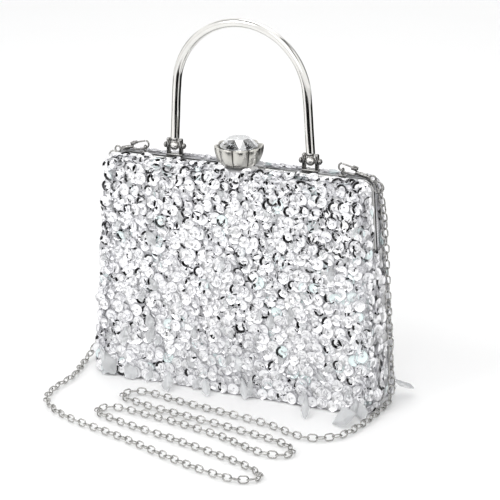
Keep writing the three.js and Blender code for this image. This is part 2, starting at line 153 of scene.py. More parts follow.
# spacing of the sewn rows: a closed layer and a loose one on the faces and the walls, and one over the rim
FACE_PITCH = 5.1
LOOSE_FACE_PITCH = 7.2
WALL_PITCH = 5.0
LOOSE_WALL_PITCH = 7.0
OVERHANG_PITCH = 6.0
OVERHANG_Y = 3.4
OVERHANG_TOP = 108
# a painted dark glint, a painted reflection, in the wall of some sequins: its direction's spread in radians,
# and how many have one
GLINT_SPREAD = 0.9
GLINT_LOW = 0.14
GLINT_HIGH = 0.8
SIDE_GLINTS = 0.3
# no sequins this near the knob's middle, with more room behind where it tips back
KNOB_CLEARANCE = 13
KNOB_CLEARANCE_BEHIND = 18.5
# a direction that is almost straight down, but never along a wall's or the top's normal
NEARLY_DOWN = (0.01, 0.01, -0.99)
SEQUIN_FLOOR_GAP = 0.25
LEAF_FLOOR_GAP = 0.3

# leaves that hang over the front's bottom edge: sewn top, free tip, width, thickness
FRONT_LEAVES = (
    ((-95, -24.5, 18), (-83, -26.5, 1), 11, 2.6),
    ((-76, -24.5, 10), (-67, -28, 1), 10, 2.6),
    ((-43, -24.5, 10), (-37, -39, 1), 9.5, 2.4),
    ((-17, -24.5, 9), (-8, -36, 1), 6.5, 2.2),
    ((11, -24.5, 13), (17, -31, 1), 6, 2.2),
    ((57, -24.5, 10), (66, -46, 1), 6, 2.2),
    ((84, -27, 4), (95, -49, 1), 17, 1.6),
    ((96, -24, 10), (100, -32, 1), 8, 2.2),
)
REAR_LEAVES = (((101, 13, 14), (112, 26, 3), 11, 2.2),)

# ---- camera
CAMERA_AZIMUTH = math.radians(25.76)
CAMERA_ELEVATION = math.radians(17.9)
CAMERA_ROLL = math.radians(-0.65)
CAMERA_DISTANCE = 1360.4
CAMERA_TARGET = (6.3, 0, 93.1)
CAMERA_LENS = 149.8
CAMERA_SENSOR = 36

# ---- surroundings
WORLD_STRENGTH = 1.12
# azimuth, elevation and radius in degrees of each dark flag, and how bright it still is
FLAGS = (
    (-53, 64, 17, 0.02), (105, 64, 17, 0.02), (60, 40, 9, 0.04), (148, 47, 10, 0.4), (-96, 46, 10, 0.4),
    (150, 12, 20, 0.03), (-110, 10, 10, 0.1),
)
FLAG_BLUR = 4
# low black cards round the set: first and last azimuth in degrees, then distance, foot and top in metres
CARDS = (
    (-14, 4, 0.32, 0.08, 0.16),
    (4, 61, 0.32, 0.0, 0.16),
    (96, 200, 0.32, 0.0, 0.16),
    (-92, -74, 0.34, 0.0, 0.16),
)
FLOOR_REACH = 6.0
# name, place, target, size in metres and power in watts
LIGHTS = (
    ("key", (-0.7, -1.1, 1.3), (0, 0, 0.05), 0.7, 6),
    ("front", (0.5, -1.3, 0.9), (0, 0, 0.05), 0.9, 3),
    ("top", (0, 0.3, 1.7), (0, 0, 0), 1.4, 6),
)


# ================================================================ materials
def new_material(name, values):
    """A node material, its plain values set on the shader's own sockets."""
    material = bpy.data.materials.new(name)
    material.use_nodes = True
    nodes = material.node_tree.nodes
    shader = nodes["Principled BSDF"]
    for socket, value in values.items():
        shader.inputs[socket].default_value = value
    return material, nodes, material.node_tree.links, shader


def add_bump(nodes, links, shader, height, strength, distance):
    bump = nodes.new("ShaderNodeBump")
    bump.inputs["Strength"].default_value = strength
    bump.inputs["Distance"].default_value = distance
    links.new(height, bump.inputs["Height"])
    links.new(bump.outputs["Normal"], shader.inputs["Normal"])


def add_noise(nodes, links, scale, detail=3.0):
    coordinates = nodes.new("ShaderNodeTexCoord")
    noise = nodes.new("ShaderNodeTexNoise")
    noise.inputs["Scale"].default_value = scale
    noise.inputs["Detail"].default_value = detail
    links.new(coordinates.outputs["Object"], noise.inputs["Vector"])
    return noise.outputs["Fac"]


def add_ramp(nodes, links, value, stops):
    """A colour ramp through (position, colour) stops, where a plain number is a grey."""
    ramp = nodes.new("ShaderNodeValToRGB")
    elements = ramp.color_ramp.elements
    while len(elements) < len(stops):
        elements.new(0.5)
    for element, (position, color) in zip(elements, stops):
        element.position = position
        element.color = (*np.broadcast_to(color, 3).tolist(), 1)
    links.new(value, ramp.inputs["Fac"])
    return ramp.outputs["Color"]


def darker(color, share):
    return [part * share for part in color]


def multiply(nodes, links, first, second):
    product = nodes.new("ShaderNodeMath")
    product.operation = "MULTIPLY"
    links.new(first, product.inputs[0])
    links.new(second, product.inputs[1])
    return product.outputs["Value"]


def stored_value(nodes, name):
    """A number that the mesh keeps for each face or point."""
    attribute = nodes.new("ShaderNodeAttribute")
    attribute.attribute_name = name
    return attribute.outputs["Fac"]


def polished_metal(name, color, roughness, grooved=False):
    """Plated metal: mirror bright, with faint cloudy handling marks and very fine polishing lines."""
    material, nodes, links, shader = new_material(name, {"Metallic": 1})
    clouds = add_noise(nodes, links, 90)
    tint = add_ramp(nodes, links, clouds, [(0.35, darker(color, 0.93)), (0.65, color)])
    if grooved:
        # darkened to near black along the valleys between the petals, as far as the groove mask reaches
        valley_darkening = nodes.new("ShaderNodeMix")
        valley_darkening.data_type = "RGBA"
        valley_darkening.inputs["B"].default_value = (0.03, 0.03, 0.028, 1)
        links.new(stored_value(nodes, "groove"), valley_darkening.inputs["Factor"])
        links.new(tint, valley_darkening.inputs["A"])
        tint = valley_darkening.outputs["Result"]
    links.new(tint, shader.inputs["Base Color"])
    smears = add_ramp(nodes, links, clouds, [(0.3, roughness), (0.75, roughness * 2)])
    links.new(smears, shader.inputs["Roughness"])
    add_bump(nodes, links, shader, add_noise(nodes, links, 2600, 1), 0.05, 0.00005)
    return material


def sequin_film():
    """Pearly silvered film: white middle, brighter wall with painted dark glints, lip greyed as painted
    shade, a few clear.
    """
    material, nodes, links, shader = new_material("sequin_film", {})
    shade = stored_value(nodes, "shade")
    zone = stored_value(nodes, "zone")
    tones = [
        (0.0, (0.9, 0.9, 0.92)), (0.5, (0.95, 0.95, 0.96)),
        (0.955, (0.93, 0.93, 0.95)), (0.965, (0.8, 0.9, 0.9)),
    ]
    # painted light: near black on the glint facets as a painted reflection of dark surroundings, grey on the
    # lip as painted edge shade
    painted_glints_and_lip_shade = [(0.4, 1), (0.6, (0.5, 0.5, 0.52)), (0.7, (0.5, 0.5, 0.52)), (0.9, 0.02)]
    colour = nodes.new("ShaderNodeMix")
    colour.data_type = "RGBA"
    colour.blend_type = "MULTIPLY"
    colour.inputs["Factor"].default_value = 1
    links.new(add_ramp(nodes, links, shade, tones), colour.inputs["A"])
    links.new(add_ramp(nodes, links, zone, painted_glints_and_lip_shade), colour.inputs["B"])
    links.new(colour.outputs["Result"], shader.inputs["Base Color"])
    mirror = add_ramp(nodes, links, zone, [(0.1, 0.4), (0.3, 0.5), (0.9, 0.8)])
    silvered = add_ramp(nodes, links, shade, [(0.955, 1), (0.965, 0.1)])
    links.new(multiply(nodes, links, mirror, silvered), shader.inputs["Metallic"])
    links.new(add_ramp(nodes, links, zone, [(0.1, 0.22), (0.3, 0.1)]), shader.inputs["Roughness"])
    add_bump(nodes, links, shader, add_noise(nodes, links, 700, 2), 0.08, 0.0003)
    return material


def clear_stone(name, color, roughness, clearness=1.0, backing=0.0):
    """Cut crystal or resin with faint inner streaks. backing is how much it mirrors, as foil would."""
    values = {"Transmission Weight": clearness, "Metallic": backing, "IOR": 1.5, "Roughness": roughness}
    material, nodes, links, shader = new_material(name, values)
    streaks = add_noise(nodes, links, 240, 1)
    tint = add_ramp(nodes, links, streaks, [(0.3, darker(color, 0.96)), (0.7, color)])
    links.new(tint, shader.inputs["Base Color"])
    return material


def woven(name, color, thread, sheen):
    """Cloth with an over-and-under weave. thread is its pitch in millimetres.

    A wave texture repeats every 2 pi / (20 * scale), and one over-and-under takes two threads.
    """
    material, nodes, links, shader = new_material(name, {"Roughness": 0.55, "Sheen Weight": sheen})
    coordinates = nodes.new("ShaderNodeTexCoord")
    waves = []
    for direction in ("X", "Z"):
        wave = nodes.new("ShaderNodeTexWave")
        wave.bands_direction = direction
        wave.inputs["Scale"].default_value = math.pi / (20 * thread * MM)
        wave.inputs["Distortion"].default_value = 0.6
        links.new(coordinates.outputs["Object"], wave.inputs["Vector"])
        waves.append(wave.outputs["Fac"])
    cross = multiply(nodes, links, *waves)
    tint = add_ramp(nodes, links, cross, [(0.0, darker(color, 0.72)), (0.8, color)])
    links.new(tint, shader.inputs["Base Color"])
    add_bump(nodes, links, shader, cross, 0.4, 0.0001)
    return material


def pressed_board():
    material, nodes, links, shader = new_material("pressed_board", {"Roughness": 0.9})
    fibres = add_noise(nodes, links, 1400, 6)
    ramp = add_ramp(nodes, links, fibres, [(0.3, (0.38, 0.33, 0.27)), (0.7, (0.6, 0.54, 0.46))])
    links.new(ramp, shader.inputs["Base Color"])
    add_bump(nodes, links, shader, fibres, 0.5, 0.0002)
    return material


# the fittings, chain, rims and cup are tinted darker than the handle, to stand for dark surroundings mirrored
# in their small rounded shapes
METAL = polished_metal("polished_metal", (0.8, 0.79, 0.765), 0.07)
CHAIN_METAL = polished_metal("chain_metal", (0.52, 0.515, 0.5), 0.12)
FITTING_METAL = polished_metal("fitting_metal", (0.36, 0.355, 0.345), 0.1)
RIM_METAL = polished_metal("rim_metal", (0.5, 0.5, 0.495), 0.06)
PETAL_METAL = polished_metal("petal_metal", (0.64, 0.63, 0.59), 0.2, grooved=True)
FILM = sequin_film()
CRYSTAL = clear_stone("crystal", (0.93, 0.94, 0.95), 0.0, backing=0.6)
RESIN = clear_stone("clear_resin", (0.94, 0.95, 0.96), 0.03, 0.62)
MESH_CLOTH = woven("mesh_cloth", (0.93, 0.93, 0.95), 0.8, 0.3)
SATIN = woven("satin", (0.66, 0.67, 0.71), 0.25, 0.8)
BOARD = pressed_board()


# ================================================================ mesh building
def link_object(name, data):
    linked = bpy.data.objects.new(name, data)
    bpy.context.collection.objects.link(linked)
    return linked


def make_piece(name, shape, material, body, replaces=None, smooth=True):
    """A mesh from millimetre points and faces, riding on a body and shown instead of a CAD node."""
    vertices, faces = shape
    mesh = bpy.data.meshes.new(name)
    mesh.from_pydata((np.asarray(vertices, dtype=float) * MM).tolist(), [], faces)
    mesh.polygons.foreach_set("use_smooth", [smooth] * len(mesh.polygons))
    mesh.materials.append(material)
    mesh.update()
    piece = link_object(name, mesh)
    if body:
        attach(piece, body)
    if replaces:
        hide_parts(replaces)
    return piece


def unit(vector):
    """The same direction with length 1, for one vector or a row of them."""
    return vector / np.linalg.norm(vector, axis=-1, keepdims=True)


def grid_faces(wide, tall):
    """Four-sided faces of a grid of points that run along its rows."""
    starts = [r * wide + c for r in range(tall - 1) for c in range(wide - 1)]
    return [(a, a + 1, a + wide + 1, a + wide) for a in starts]


def loft(rings, looped=False):
    """Vertices and faces of a skin over equal rings, closed into a loop or capped at both ends."""
    rings = [np.asarray(ring, dtype=float) for ring in rings]
    count = len(rings[0])
    spans = len(rings) if looped else len(rings) - 1
    faces = []
    for r in range(spans):
        here, there = r * count, ((r + 1) % len(rings)) * count
        for i in range(count):
            after = (i + 1) % count
            faces.append((here + i, here + after, there + after, there + i))
    if not looped:
        last = (len(rings) - 1) * count
        faces.append(tuple(range(count))[::-1])
        faces.append(tuple(range(last, last + count)))
    return np.concatenate(rings), faces


def merge(parts):
    vertices, faces, start = [], [], 0
    for part_vertices, part_faces in parts:
        vertices.append(part_vertices)
        faces += [tuple(start + i for i in face) for face in part_faces]
        start += len(part_vertices)
    return np.concatenate(vertices), faces


def circle(count, radius=1.0, turn=0.0):
    angles = 2 * np.pi * (np.arange(count) + turn) / count
    return radius * np.cos(angles), radius * np.sin(angles)


def spun(profile, axis, centre, sides=32):
    """A solid turned about an axis: profile is a row of (radius, distance along the axis)."""
    across = {"x": (1, 2, 0), "y": (2, 0, 1), "z": (0, 1, 2)}[axis]
    rings = []
    for radius, along in profile:
        ring = np.zeros((sides, 3))
        ring[:, across[0]], ring[:, across[1]] = circle(sides, radius)
        ring[:, across[2]] = along
        rings.append(ring + np.asarray(centre))
    return loft(rings)


def rounded_bar(radius, start, end, edge=0.25):
    """Profile of a bar with broken edges, for spun()."""
    first = []
    for angle in np.radians((0, 45, 90)):
        first.append((radius - edge + edge * math.sin(angle), start + edge - edge * math.cos(angle)))
    last = [(r, end - (a - start)) for r, a in reversed(first)]
    return first + last


def box_rings(x, y, z, edge=0.3):
    """A block with rounded vertical edges and broken top and bottom edges."""
    rings = []
    for height, inset in ((z[0], edge), (z[0] + edge, 0), (z[1] - edge, 0), (z[1], edge)):
        rings.append(rounded_rectangle(x, y, inset, edge, height))
    return loft(rings)


def rounded_rectangle(x, y, inset, radius, z):
    points = []
    corners = ((x[1], y[0], -90), (x[1], y[1], 0), (x[0], y[1], 90), (x[0], y[0], 180))
    for cx, cy, start in corners:
        px = cx - math.copysign(radius + inset, cx - (x[0] + x[1]) / 2)
        py = cy - math.copysign(radius + inset, cy - (y[0] + y[1]) / 2)
        for step in range(4):
            angle = math.radians(start + 30 * step)
            points.append((px + radius * math.cos(angle), py + radius * math.sin(angle), z))
    return points


def catmull_rom(points, spacing):
    """Centripetal spline through the points, as a polyline with equal steps."""
    points = np.asarray(points, dtype=float)
    ends = np.vstack([2 * points[0] - points[1], points, 2 * points[-1] - points[-2]])
    out = []
    for p0, p1, p2, p3 in zip(ends, ends[1:], ends[2:], ends[3:]):
        t0 = 0
        t1 = t0 + np.linalg.norm(p1 - p0) ** 0.5
        t2 = t1 + np.linalg.norm(p2 - p1) ** 0.5
        t3 = t2 + np.linalg.norm(p3 - p2) ** 0.5
        t = np.linspace(t1, t2, 24, endpoint=False)[:, None]
        a1 = (t1 - t) / (t1 - t0) * p0 + (t - t0) / (t1 - t0) * p1
        a2 = (t2 - t) / (t2 - t1) * p1 + (t - t1) / (t2 - t1) * p2
        a3 = (t3 - t) / (t3 - t2) * p2 + (t - t2) / (t3 - t2) * p3
        b1 = (t2 - t) / (t2 - t0) * a1 + (t - t0) / (t2 - t0) * a2
        b2 = (t3 - t) / (t3 - t1) * a2 + (t - t1) / (t3 - t1) * a3
        out.append((t2 - t) / (t2 - t1) * b1 + (t - t1) / (t2 - t1) * b2)
    line = np.vstack(out + [points[-1:]])
    along = np.concatenate([[0], np.cumsum(np.linalg.norm(np.diff(line, axis=0), axis=1))])
    count = max(2, round(along[-1] / spacing) + 1)
    even = np.linspace(0, along[-1], count)
    return np.stack([np.interp(even, along, line[:, k]) for k in range(3)], axis=1)


# rings that round off a wire's end: each one's size and how far it is past the end, as shares of the radius
WIRE_CAP = ((0.35, 0.29), (0.75, 0.15))


def swept(line, radius, sides=16, cap=WIRE_CAP):
    """A round wire along a polyline, its ends rounded off."""
    line = np.asarray(line, dtype=float)
    tangents = unit(np.gradient(line, axis=0))
    side = np.cross(tangents[0], (0.0, 1.0, 0.0) if abs(tangents[0][1]) < 0.9 else (1.0, 0.0, 0.0))
    cos, sin = circle(sides)
    frames = []
    for tangent in tangents:
        side = unit(side - tangent * np.dot(side, tangent))
        frames.append((side, np.cross(tangent, side)))
    rings = []
    for share, past in cap:
        rings.append(section(line[0] - tangents[0] * radius * past, frames[0], radius * share, cos, sin))
    rings += [section(p, f, radius, cos, sin) for p, f in zip(line, frames)]
    for share, past in reversed(cap):
        rings.append(section(line[-1] + tangents[-1] * radius * past, frames[-1], radius * share, cos, sin))
    return loft(rings)


def section(centre, axes, radius, cos, sin):
    return centre + radius * (cos[:, None] * axes[0] + sin[:, None] * axes[1])


def torus(centre, radius, wire, normal, sides=12, steps=40):
    """A ring of round wire. normal is the axis the ring goes round: x, y or z."""
    order = {"x": (1, 2, 0), "y": (2, 0, 1), "z": (0, 1, 2)}[normal]
    cos, sin = circle(steps)
    section_cos, section_sin = circle(sides)
    rings = []
    for c, s in zip(cos, sin):
        ring = np.zeros((sides, 3))
        ring[:, order[0]] = c * (radius + wire * section_cos)
        ring[:, order[1]] = s * (radius + wire * section_cos)
        ring[:, order[2]] = wire * section_sin
        rings.append(ring + np.asarray(centre))
    return loft(rings, looped=True)


# ================================================================ outline of the bag
def half_width(z):
    return (BOTTOM_WIDTH + (TOP_WIDTH - BOTTOM_WIDTH) * z / HEIGHT) / 2


def depth_at(z):
    return BOTTOM_DEPTH + (TOP_DEPTH - BOTTOM_DEPTH) * z / HEIGHT


def outline(inset, floor, count):
    """Rounded trapezium in the XZ plane, as count points evenly spaced along it."""
    half = TOP_WIDTH / 2 - inset
    top = HEIGHT - inset
    top_round = max(TOP_ROUND - inset, LEAST_ROUND)
    low_round = max(BOTTOM_ROUND - inset, LEAST_ROUND)
    corners = (
        (half - low_round, floor + low_round, low_round, -90),
        (half - top_round, top - top_round, top_round, 0),
        (top_round - half, top - top_round, top_round, 90),
        (low_round - half, floor + low_round, low_round, 180),
    )
    points = []
    for x, z, radius, start in corners:
        for angle in np.radians(start + np.linspace(0, 90, 13)):
            points.append((x + radius * math.cos(angle), z + radius * math.sin(angle)))
    points = np.array(points + points[:1])
    points[:, 0] *= half_width(points[:, 1]) / (TOP_WIDTH / 2)
    along = np.concatenate([[0], np.cumsum(np.linalg.norm(np.diff(points, axis=0), axis=1))])
    even = np.linspace(0, along[-1], count, endpoint=False)
    return np.stack([np.interp(even, along, points[:, k]) for k in range(2)], axis=1)


def wall_ring(side, inset, depth_in, angle, count):
    """One ring of a half shell: angle is 0 where the wall ends and 90 degrees on the big face."""
    rounding = SHOULDER - depth_in
    draw = rounding * (1 - math.cos(angle))
    plan = outline(inset + draw, depth_in + draw, count)
    reach = depth_at(plan[:, 1]) - depth_in - rounding + rounding * math.sin(angle)
    return np.stack([plan[:, 0], side * reach, plan[:, 1]], axis=1)


def tray_surface(side, inset, count=240, steps=6, face_rings=10):
    """Rings from the mouth of a half shell, over the shoulder, to the middle of its big face."""
    depth_in = inset - COVER_INSET
    edge = outline(inset, depth_in, count)
    mouth = np.stack([edge[:, 0], np.full(count, side * MOUTH), edge[:, 1]], axis=1)
    first = wall_ring(side, inset, depth_in, 0, count)
    rings = [mouth + (first - mouth) * t for t in (0, 0.5)]
    rings += [wall_ring(side, inset, depth_in, angle, count) for angle in np.linspace(0, math.pi / 2, steps)]
    rim = rings[-1]
    centre = np.array([0, side * (depth_at(HEIGHT / 2) - depth_in), HEIGHT / 2])
    rings += [centre + (rim - centre) * share for share in np.linspace(1, 0.02, face_rings)[1:]]
    return rings


def tray(side, inset, thickness, ripple=0.0):
    outer = tray_surface(side, inset)
    inner = tray_surface(side, inset + thickness)
    if ripple:
        inner = [ring + ripple_of(ring, ripple) for ring in inner]
    return loft(outer[::-1] + inner)


def ripple_of(ring, size):
    """Small soft waves of glued satin, square to the big face and fading towards its edge."""
    share = np.clip(1 - np.abs(ring[:, 0]) / 96, 0, 1) * np.clip(np.abs(ring[:, 1]) / 12, 0, 1)
    wave = np.sin(ring[:, 0] * 0.21 + 2 * np.sin(ring[:, 2] * 0.06))
    wave += 0.6 * np.sin(ring[:, 2] * 0.17 + ring[:, 0] * 0.05)
    shift = np.zeros_like(ring)
    shift[:, 1] = -np.sign(ring[:, 1]) * size * share * (wave + 1.6) / 3.2
    return shift


# ================================================================ camera, light and floor
def towards(azimuth, elevation):
    """Unit vector from the bag towards a place round it. Azimuth 0 is in front and 90 degrees at +X."""
    level = math.cos(elevation)
    return Vector((math.sin(azimuth) * level, -math.cos(azimuth) * level, math.sin(elevation)))


def add_camera():
    back = towards(CAMERA_AZIMUTH, CAMERA_ELEVATION)
    right = Vector((math.cos(CAMERA_AZIMUTH), math.sin(CAMERA_AZIMUTH), 0))
    up = back.cross(right)
    turn = Matrix((right, up, back)).transposed().to_4x4() @ Matrix.Rotation(CAMERA_ROLL, 4, "Z")
    data = bpy.data.cameras.new("camera")
    data.lens = CAMERA_LENS
    data.sensor_width = CAMERA_SENSOR
    data.clip_end = 20
    camera = link_object("camera", data)
    place = Vector(CAMERA_TARGET) * MM + back * CAMERA_DISTANCE * MM
    camera.matrix_world = Matrix.Translation(place) @ turn
    bpy.context.scene.camera = camera


def stage_mesh(name, vertices, faces, material, only_mirrored=False):
    """The floor or a card, as a mesh in metres that rides on none of the bag's bodies."""
    mesh = bpy.data.meshes.new(name)
    mesh.from_pydata(vertices, [], faces)
    mesh.materials.append(material)
    item = link_object(name, mesh)
    if only_mirrored:
        item.visible_camera = False
        item.visible_diffuse = False
        item.visible_shadow = False


def add_floor():
    material, nodes, links, shader = new_material("floor", {"Roughness": 0.8})
    ramp = add_ramp(nodes, links, add_noise(nodes, links, 3), [(0.3, 0.955), (0.7, 0.975)])
    links.new(ramp, shader.inputs["Base Color"])
    r = FLOOR_REACH
    stage_mesh("floor", [(-r, -r, 0), (r, -r, 0), (r, r, 0), (-r, r, 0)], [(0, 1, 2, 3)], material)


def add_world():
    """A white tent with dark flags all round, which give the metal's edges and the sequins their contrast."""
    world = bpy.data.worlds.new("studio")
    bpy.context.scene.world = world
    world.use_nodes = True
    nodes, links = world.node_tree.nodes, world.node_tree.links
    coordinates = nodes.new("ShaderNodeTexCoord")
    shades = []
    for azimuth, elevation, size, brightness in FLAGS:
        dot = nodes.new("ShaderNodeVectorMath")
        dot.operation = "DOT_PRODUCT"
        dot.inputs[1].default_value = towards(math.radians(azimuth), math.radians(elevation))
        links.new(coordinates.outputs["Generated"], dot.inputs[0])
        fade = nodes.new("ShaderNodeMapRange")
        fade.inputs["From Min"].default_value = math.cos(math.radians(size + FLAG_BLUR))
        fade.inputs["From Max"].default_value = math.cos(math.radians(size - FLAG_BLUR))
        fade.inputs["To Min"].default_value = 1
        fade.inputs["To Max"].default_value = brightness
        links.new(dot.outputs["Value"], fade.inputs["Value"])
        shades.append(fade.outputs["Result"])
    shade = shades[0]
    for other in shades[1:]:
        shade = multiply(nodes, links, shade, other)
    links.new(shade, nodes["Background"].inputs["Color"])
    nodes["Background"].inputs["Strength"].default_value = WORLD_STRENGTH


def add_cards():
    """Photographer's flags: only the gloss of the metal and the sequins sees them."""
    matt = {"Base Color": (0.01, 0.01, 0.01, 1), "Roughness": 1, "Specular IOR Level": 0}
    material = new_material("black_card", matt)[0]
    for number, (first, last, distance, foot, top) in enumerate(CARDS, 1):
        vertices = []
        for angle in np.radians(np.linspace(first, last, 12)):
            x, y = distance * math.sin(angle), -distance * math.cos(angle)
            vertices += [(x, y, foot), (x, y, top)]
        faces = [(i, i + 1, i + 3, i + 2) for i in range(0, len(vertices) - 2, 2)]
        stage_mesh(f"card_{number}", vertices, faces, material, only_mirrored=True)


def add_lights():
    for name, place, target, size, power in LIGHTS:
        data = bpy.data.lights.new(name, "AREA")
        data.size = size
        data.energy = power
        light = link_object(name, data)
        light.location = place
        light.rotation_euler = (Vector(target) - Vector(place)).to_track_quat("-Z", "Y").to_euler()


def link_template():
    """One oval link lying in its own XY plane, long axis along X."""
    straight = (LINK_LENGTH - LINK_WIDTH) / 2
    bend = (LINK_WIDTH - LINK_WIRE) / 2
    angles = 2 * np.pi * (np.arange(20) + 0.5) / 20
    x = bend * np.cos(angles) + np.sign(np.cos(angles)) * straight
    centres = np.stack([x, bend * np.sin(angles)], axis=1)
    out = np.stack([np.cos(angles), np.sin(angles)], axis=1)
    cos, sin = circle(8, LINK_WIRE / 2)
    rings = []
    for centre, direction in zip(centres, out):
        xy = centre + cos[:, None] * direction
        rings.append(np.column_stack([xy, sin]))
    return loft(rings, looped=True)


def add_chain():
    line = catmull_rom(CHAIN_ROUTE, LINK_PITCH)
    vertices, faces = link_template()
    tangents = unit(np.gradient(line, axis=0))
    middles = (line[1:] + line[:-1]) / 2
    parts = []
    for i, centre in enumerate(middles):
        along = unit(tangents[i] + tangents[i + 1])
        upright = unit(np.array(LINK_LEAN) - along * np.dot(LINK_LEAN, along))
        level = np.cross(upright, along)
        roll = math.radians((90 if i % 2 else 0) + rng.uniform(-LINK_PLAY, LINK_PLAY))
        side = level * math.cos(roll) + upright * math.sin(roll)
        turn = np.stack([along, side, np.cross(along, side)])
        parts.append((vertices @ turn + centre, faces))
    for x, y, z in (CHAIN_ROUTE[0], CHAIN_ROUTE[-1]):
        parts.append(torus((x, y, z - JUMP_RING_RADIUS), JUMP_RING_RADIUS, LINK_WIRE / 2, "y"))
    links = make_piece("chain_links", merge(parts), CHAIN_METAL, "rear_half", "chain")


# ================================================================ rims, cover cloth and lining
def rim_piece(half, side):
    """A polished rim with rounded edges, stepped back along the bottom to clear the hinge."""
    corners = ((0, SEAM, 180), (0, RIM_FACE, 90), (RIM_THICKNESS, RIM_FACE, 0), (RIM_THICKNESS, SEAM, -90))
    rings = []
    for inset, y, start in corners:
        middle_inset = RIM_EDGE if inset == 0 else inset - RIM_EDGE
        middle_y = y + RIM_EDGE if y == SEAM else y - RIM_EDGE
        for angle in np.radians(start - 30 * np.arange(4)):
            depth_in = max(middle_inset + RIM_EDGE * math.cos(angle), 0)
            plan = outline(depth_in, depth_in, RIM_POINTS)
            reach = np.full(RIM_POINTS, middle_y + RIM_EDGE * math.sin(angle))
            low = plan[:, 1] < CHANNEL_TOP
            reach[low] = CHANNEL_HALF + (reach[low] - SEAM) * (RIM_FACE - CHANNEL_HALF) / (RIM_FACE - SEAM)
            rings.append(np.stack([plan[:, 0], side * reach, plan[:, 1]], axis=1))
    rim = loft(rings, looped=True)
    make_piece(f"{half}_rim_polished", rim, RIM_METAL, f"{half}_half", f"{half}_rim")


def cover_piece(half, side):
    shape = tray(side, COVER_INSET, CLOTH_THICKNESS)
    cloth = make_piece(f"{half}_cloth", shape, MESH_CLOTH, f"{half}_half", f"{half}_cover")


def lining_piece(half, side):
    shape = tray(side, LINING_INSET, LINING_THICKNESS, ripple=0.5)
    satin = make_piece(f"{half}_satin", shape, SATIN, f"{half}_half", f"{half}_lining")


# ================================================================ sequins
def sequin_template():
    """A cup sequin with its hole, as a closed skin with the cup opening towards +Z."""
    hole, floor, _, lip = SEQUIN_PROFILE
    under = [(radius, height - SEQUIN_THICKNESS) for radius, height in (lip, floor, hole)]
    rings = []
    for radius, height in [*SEQUIN_PROFILE, *under]:
        x, y = circle(SEQUIN_SIDES, radius)
        rings.append(np.stack([x, y, np.full(SEQUIN_SIDES, height)], axis=1))
    return loft(rings, looped=True)


def sequin_zones(glint):
    """Which part of the sequin each face is: 0 middle and back, 0.3 wall, 0.6 lip, 1 a painted dark glint, a
    painted reflection.

    A glint is that many wall facets either side of the sequin's own +X direction.
    """
    wall = np.full(SEQUIN_SIDES, 0.3)
    wall[:glint] = 1
    wall[SEQUIN_SIDES - glint:] = 1
    plain = np.zeros(SEQUIN_SIDES)
    lip = np.full(SEQUIN_SIDES, 0.6)
    return np.concatenate([plain, wall, lip, lip, plain, plain, plain])


def face_sites(side, pitch):
    """Sites on the big face in staggered rows, with their outward normals."""
    sites = []
    lean = (BOTTOM_DEPTH - TOP_DEPTH) / HEIGHT
    normal = unit(np.array([0, side, lean]))
    row_pitch = pitch * 0.87
    margin = COVER_INSET + SHOULDER * 0.6
    for row in range(int(HEIGHT / row_pitch) + 1):
        z = margin + row * row_pitch
        if z > HEIGHT - margin:
            break
        half = half_width(z) - margin
        for x in np.arange(-half, half + pitch / 2, pitch) + (row % 2) * pitch / 2:
            if abs(x) <= half + 0.5:
                sites.append(((x, side * depth_at(z), z), normal))
    return sites


def wall_sites(side, pitch):
    """Sites over the rounded shoulder and along the walls, none on the underside."""
    sites = []
    rows = [("shoulder", math.radians(a)) for a in (70, 35, 5)]
    rows += [("wall", y) for y in np.arange(7.6, 20, pitch * 0.9)]
    for kind, value in rows:
        inset = COVER_INSET + (SHOULDER * (1 - math.cos(value)) if kind == "shoulder" else 0)
        plan = outline(inset, inset - COVER_INSET, 2 * int(330 / pitch))
        ahead = np.roll(plan, -1, axis=0) - np.roll(plan, 1, axis=0)
        out = unit(np.stack([ahead[:, 1], -ahead[:, 0]], axis=1))
        for (x, z), (nx, nz) in zip(plan, out):
            if nz < -0.5:
                continue
            wall_end = depth_at(z) - SHOULDER
            if kind == "shoulder":
                y = wall_end + SHOULDER * math.sin(value)
                normal = np.array([nx * math.cos(value), side * math.sin(value), nz * math.cos(value)])
            else:
                y = value
                normal = np.array([nx, 0, nz])
                if y > wall_end - 1.0:
                    continue
                chain_lane = side > 0 and abs(nx) > 0.7 and y < 12.5
                if chain_lane:
                    continue
            sites.append(((x, side * y, z), normal))
    return sites


def overhang_sites(side, pitch):
    """Sites along both sides where the last row of sequins hangs over the rim, below the gussets' top."""
    sites = []
    plan = outline(0, 0, int(660 / pitch))
    ahead = np.roll(plan, -1, axis=0) - np.roll(plan, 1, axis=0)
    for (x, z), (dx, dz) in zip(plan, ahead):
        normal = np.array([dz, 0, -dx]) / math.hypot(dx, dz)
        if 4 < z < OVERHANG_TOP and abs(normal[0]) > 0.7:
            sites.append(((x, side * OVERHANG_Y, z), normal))
    return sites


def near_knob(place):
    reach = KNOB_CLEARANCE_BEHIND if place[1] > 0 else KNOB_CLEARANCE
    return math.hypot(place[0], place[1] - KNOB_Y) < reach and place[2] > HEIGHT - 4


def beside_and_down(normal):
    """Two directions square to a normal: sideways, and as near to straight down as can be."""
    across = unit(np.cross(normal, NEARLY_DOWN))
    return across, np.cross(across, normal)


def above_floor(points, gap):
    points[:, 2] += max(0.0, gap - points[:, 2].min())
    return points


def glint_chance(place, normal):
    """More sequins have a painted dark glint, a painted reflection, towards the top and on the bag's sides.
    """
    chance = GLINT_LOW + (GLINT_HIGH - GLINT_LOW) * (place[2] / HEIGHT) ** 2
    return chance + SIDE_GLINTS if abs(normal[0]) > 0.7 else chance


